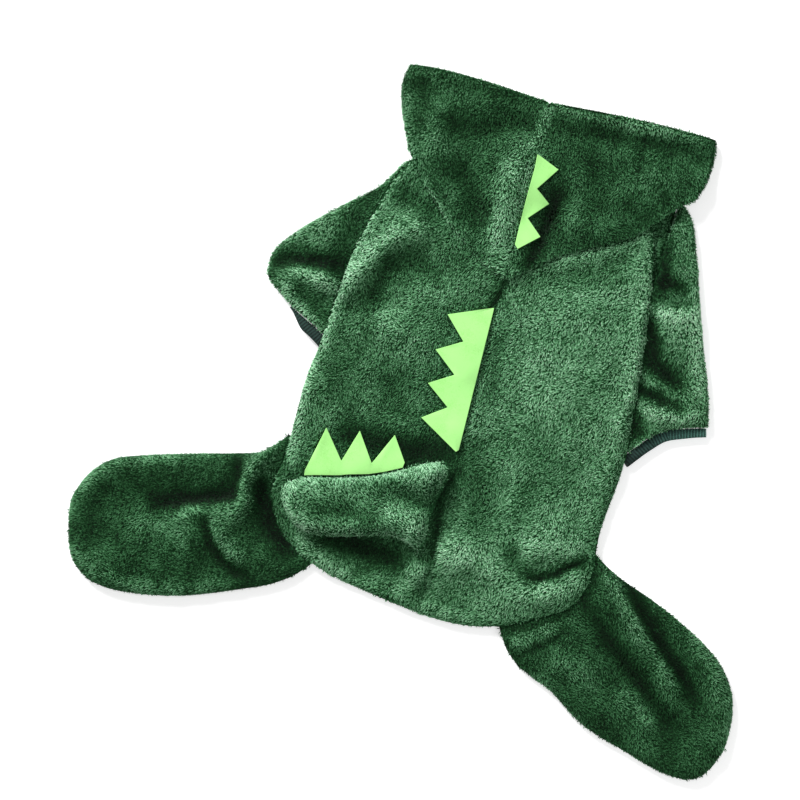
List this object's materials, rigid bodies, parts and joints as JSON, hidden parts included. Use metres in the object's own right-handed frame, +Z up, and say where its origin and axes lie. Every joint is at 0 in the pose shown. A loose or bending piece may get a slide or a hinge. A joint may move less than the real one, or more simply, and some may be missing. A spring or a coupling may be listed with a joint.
{
  "type": "dog onesie",
  "caption": "Hooded plush onesie for a dog, with felt spikes, a short tail, ribbed front cuffs and closed feet, laid flat on its belly.",
  "frame": {"origin": "middle of the footprint, on the surface that the onesie lies on", "axes": "+Z up out of the back, +Y along the centre-back seam towards the hood, +X to the garment's right as it is seen from above"},
  "size_m": [0.5579, 0.5067, 0.0264],
  "materials": {
    "fleece": "short plush coral fleece, mid green, with a clumped nap and a soft sheen",
    "felt": "smooth pressed felt, pale yellow green",
    "rib_knit": "ribbed knit, dark green"
  },
  "bodies": {
    "root": {"belly": "fleece", "back_left": "fleece", "back_right": "fleece", "hood_left": "fleece", "hood_right": "fleece", "sleeve_left": "fleece", "sleeve_right": "fleece", "cuff_left": "rib_knit", "cuff_right": "rib_knit", "leg_left_upper": "fleece", "leg_left_lower": "fleece", "leg_right_upper": "fleece", "leg_right_lower": "fleece", "tail_upper": "fleece", "tail_lower": "fleece", "comb_hood": "felt", "comb_back": "felt", "comb_tail": "felt"}
  },
  "joints": []
}
